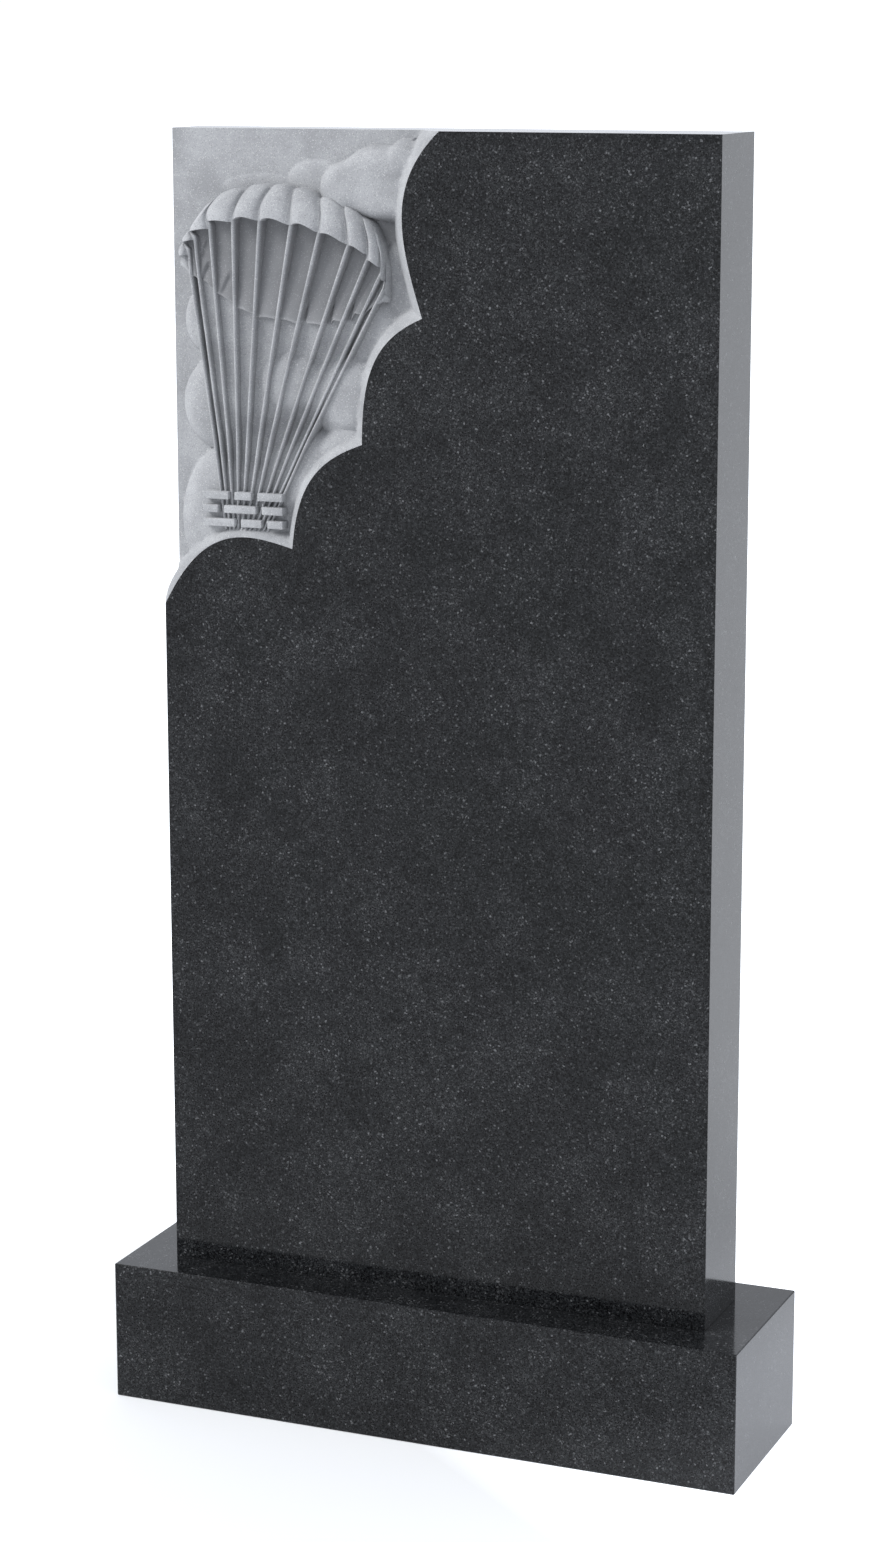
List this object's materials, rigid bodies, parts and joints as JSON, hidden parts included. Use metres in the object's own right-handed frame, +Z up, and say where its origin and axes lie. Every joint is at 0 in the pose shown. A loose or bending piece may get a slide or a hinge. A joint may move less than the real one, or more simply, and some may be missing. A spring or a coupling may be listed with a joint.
{
  "type": "headstone",
  "caption": "Upright polished black gabbro headstone on a plinth, one upper corner carved back in relief inside a scalloped edge; stands by its own weight.",
  "frame": {"origin": "on the ground, under the middle of the plinth's underside", "axes": "+Z up the stone; +Y from the carved front to the back, through the slab's thickness; +X to the right, seen from the front"},
  "size_m": [0.7, 0.2, 1.35],
  "materials": {
    "gabbro": "polished black, with the carved corner left matt grey"
  },
  "bodies": {
    "root": {"stele": "gabbro", "plinth": "gabbro"}
  },
  "joints": []
}
